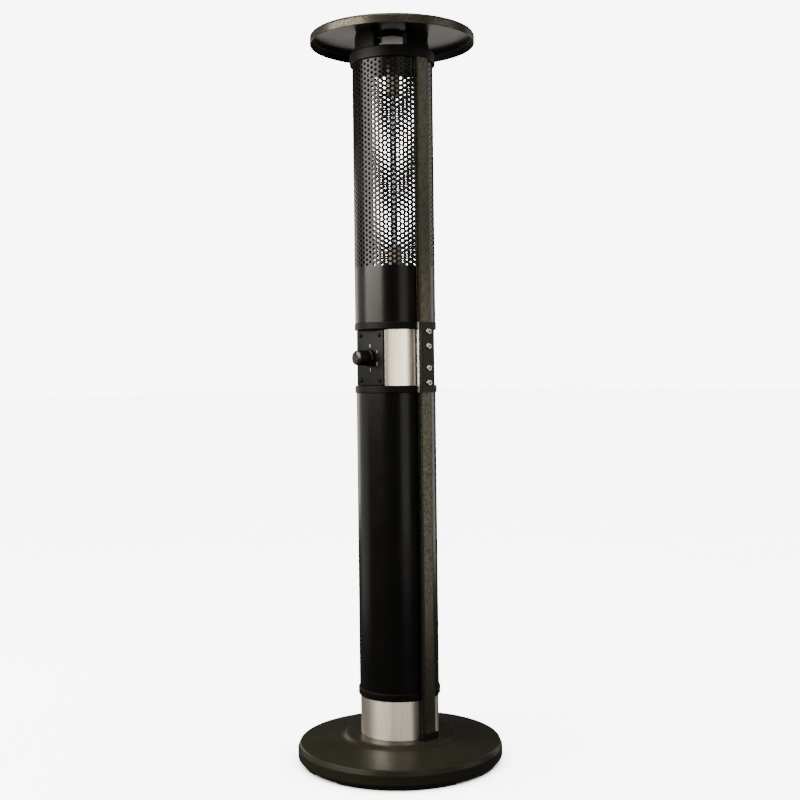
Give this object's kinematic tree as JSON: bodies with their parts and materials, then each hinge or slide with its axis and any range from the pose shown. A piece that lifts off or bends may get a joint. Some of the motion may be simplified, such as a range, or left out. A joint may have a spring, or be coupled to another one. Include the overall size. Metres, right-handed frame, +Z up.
{
  "type": "column heater",
  "caption": "Free-standing electric column heater: weighted round base, black tube, control band with a knob, perforated guard round a quartz element, side struts and a flat hood.",
  "frame": {"origin": "centre of the base on the floor", "axes": "+Z up the column, the control panel faces -Y, the struts stand at +X and -X"},
  "size_m": [0.334, 0.334, 1.1852],
  "materials": {
    "hammer_paint": "hammered bronze-black paint",
    "satin_black": "satin black powder coat",
    "brushed_steel": "upright brushed stainless",
    "zinc_steel": "bright zinc plate",
    "sheet_steel": "plain rolled sheet",
    "cast_iron": "as cast",
    "rubber": "moulded",
    "black_plastic": "fine moulded grain",
    "gloss_plastic": "moulded gloss",
    "pale_plastic": "moulded",
    "ceramic": "unglazed steatite",
    "quartz": "clear fused quartz",
    "heating_wire": "oxidised resistance wire"
  },
  "bodies": {
    "heater": {"base_cover": "hammer_paint", "base_weight": "cast_iron", "base_plate": "sheet_steel", "base_feet": "rubber", "base_plate_screws": "zinc_steel", "neck_flange": "sheet_steel", "flange_bolts": "zinc_steel", "neck_sleeve": "brushed_steel", "cord_gland": "black_plastic", "bottom_ring": "satin_black", "lower_tube": "satin_black", "lower_mid_ring": "satin_black", "upper_mid_ring": "satin_black", "control_housing": "brushed_steel", "chassis_plate": "sheet_steel", "terminal_block": "pale_plastic", "tilt_switch": "black_plastic", "control_box": "black_plastic", "control_panel": "black_plastic", "panel_screws": "satin_black", "rotary_switch": "black_plastic", "switch_nut": "zinc_steel", "element_tray": "sheet_steel", "thermal_cutout": "ceramic", "element_stand": "sheet_steel", "element_cap_lower": "ceramic", "element_cap_upper": "ceramic", "quartz_tube": "quartz", "heating_filament": "heating_wire", "element_hanger": "sheet_steel", "guard_tube": "satin_black", "top_plate": "sheet_steel", "top_plate_screws": "zinc_steel", "top_collar": "satin_black", "cap": "hammer_paint", "cap_boss": "sheet_steel", "cap_screws": "satin_black", "splice_screws": "zinc_steel", "splice_nuts": "zinc_steel", "upper_strut_right": "hammer_paint", "lower_strut_right": "hammer_paint", "strut_shoe_right": "black_plastic", "splice_rail_right": "zinc_steel", "splice_cover_right": "hammer_paint", "upper_strut_left": "hammer_paint", "lower_strut_left": "hammer_paint", "strut_shoe_left": "black_plastic", "splice_rail_left": "zinc_steel", "splice_cover_left": "hammer_paint"},
    "knob": {"control_knob": "gloss_plastic", "switch_spindle": "zinc_steel"}
  },
  "joints": [
    {"name": "knob_turn", "type": "hinge", "parent": "heater", "child": "knob", "pos_m": [0, -0.068, 0.6557], "axis": [0, 1, 0], "range_deg": [0, 180]}
  ]
}
